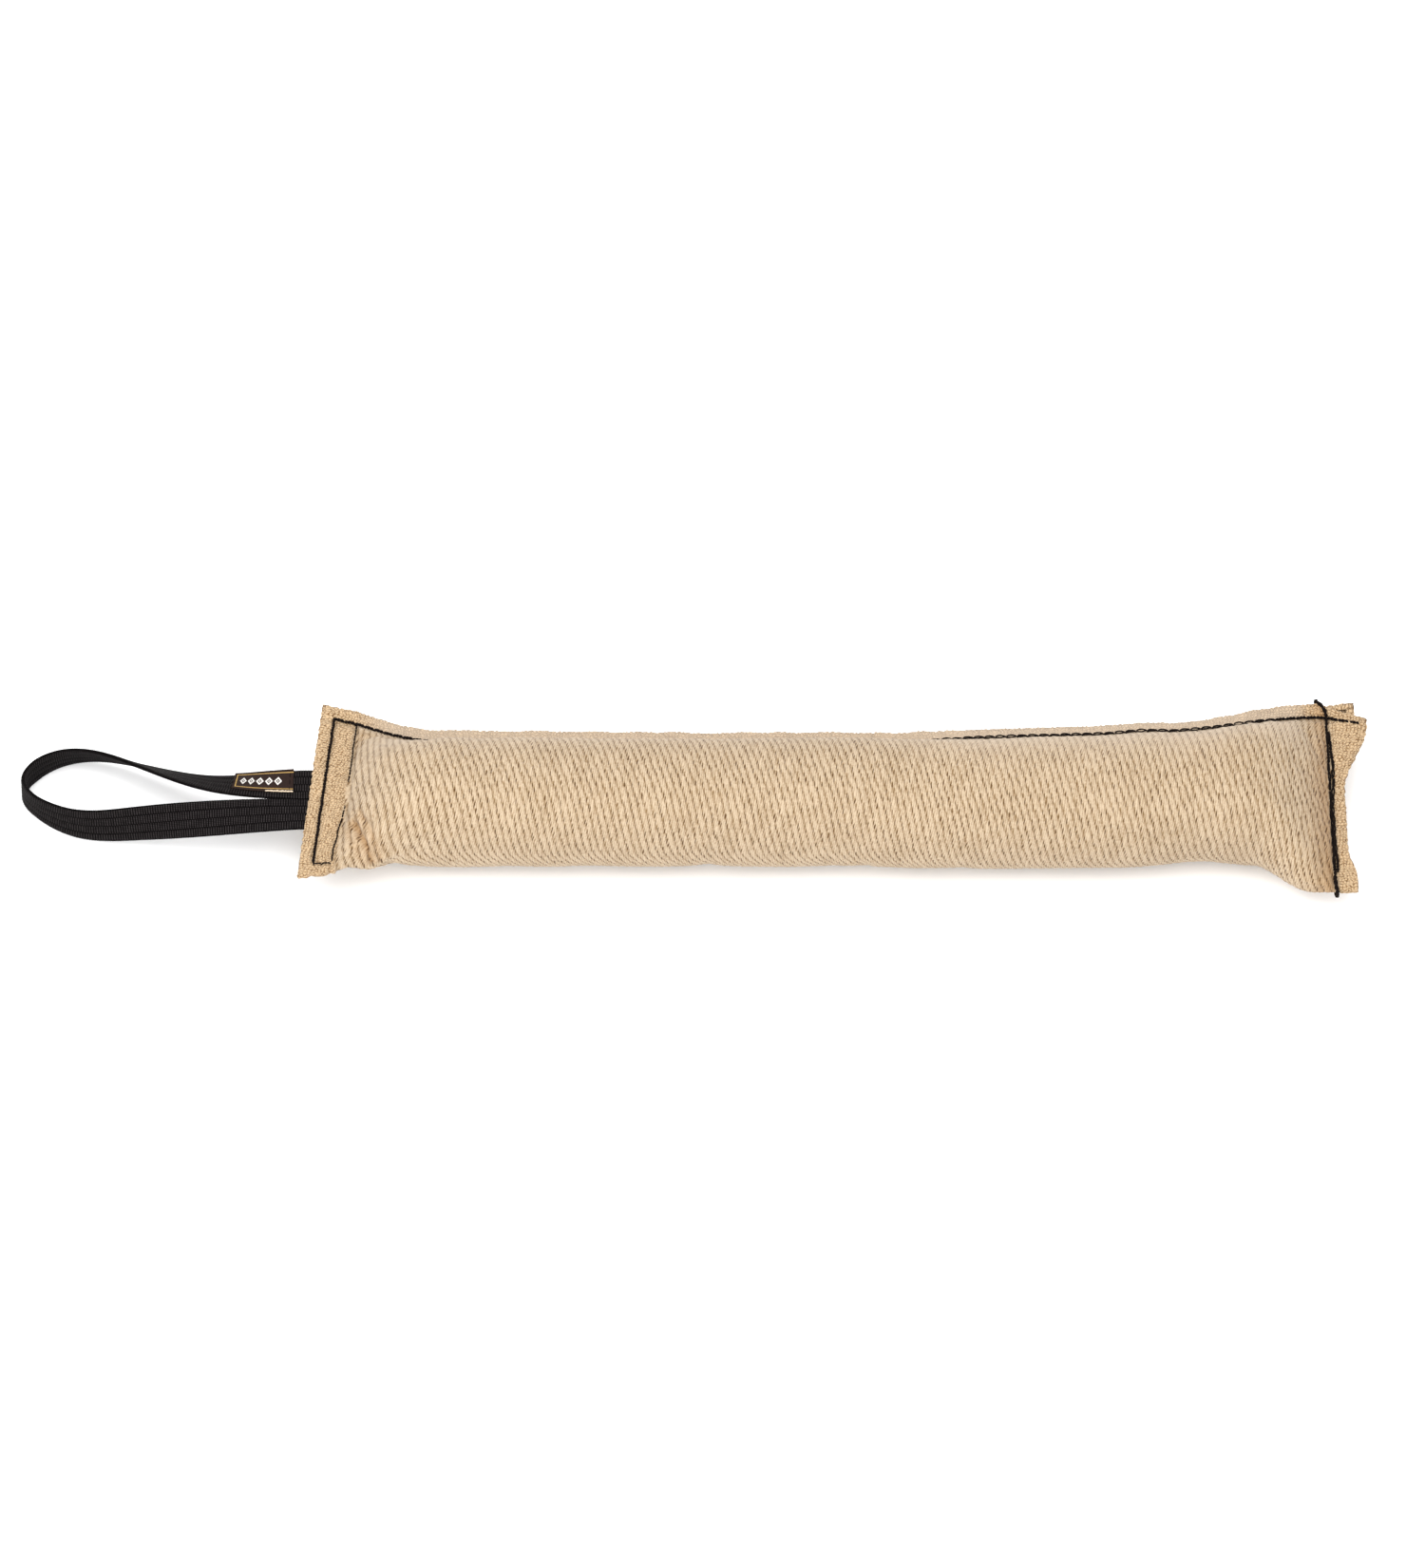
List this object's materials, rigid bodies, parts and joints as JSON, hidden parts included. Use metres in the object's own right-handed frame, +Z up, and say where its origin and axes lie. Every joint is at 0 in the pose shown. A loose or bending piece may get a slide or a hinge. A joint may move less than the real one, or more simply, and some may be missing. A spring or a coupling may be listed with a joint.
{
  "type": "dog training bumper",
  "caption": "Long round jute bite bumper for dog training, stuffed and sewn flat at both ends, with a black webbing hand loop at one end.",
  "frame": {"origin": "middle of the flat strip under the roll, on the surface that it lies on", "axes": "+X along the roll, away from the hand loop; +Y towards the cut edges of the long seam; +Z up from the surface it lies on"},
  "size_m": [0.7562, 0.1256, 0.0711],
  "materials": {
    "jute": "coarse 2/1 twill jute, matt",
    "calico": "plain-weave cotton",
    "stuffing": "packed textile offcuts",
    "webbing": "ribbed woven polypropylene, slight sheen",
    "seam_thread": "waxed two-ply thread",
    "label_weave": "satin-woven label",
    "label_thread": "fine thread"
  },
  "bodies": {
    "bumper": {"jute_cover": "jute", "inner_liner": "calico", "stuffing": "stuffing", "webbing_tail_front": "webbing", "webbing_tail_back": "webbing", "long_seam_needle_thread": "seam_thread", "long_seam_bobbin_thread": "seam_thread", "handle_end_outer_seam_needle_thread": "seam_thread", "handle_end_outer_seam_bobbin_thread": "seam_thread", "handle_end_inner_seam_needle_thread": "seam_thread", "handle_end_inner_seam_bobbin_thread": "seam_thread", "handle_end_closing_seam_needle_thread": "seam_thread", "handle_end_closing_seam_bobbin_thread": "seam_thread", "far_end_first_pass_needle_thread": "seam_thread", "far_end_first_pass_bobbin_thread": "seam_thread", "far_end_second_pass_needle_thread": "seam_thread", "far_end_second_pass_bobbin_thread": "seam_thread", "far_end_back_edge_wrap": "seam_thread", "far_end_front_edge_wrap": "seam_thread"},
    "hand_loop": {"webbing_loop": "webbing", "woven_label": "label_weave", "label_stitches": "label_thread"}
  },
  "joints": [
    {"name": "loop_flop", "type": "hinge", "parent": "bumper", "child": "hand_loop", "pos_m": [-0.299, 0.00195, 0.034], "axis": [0, 1, 0], "range_deg": [-105, 105]}
  ]
}
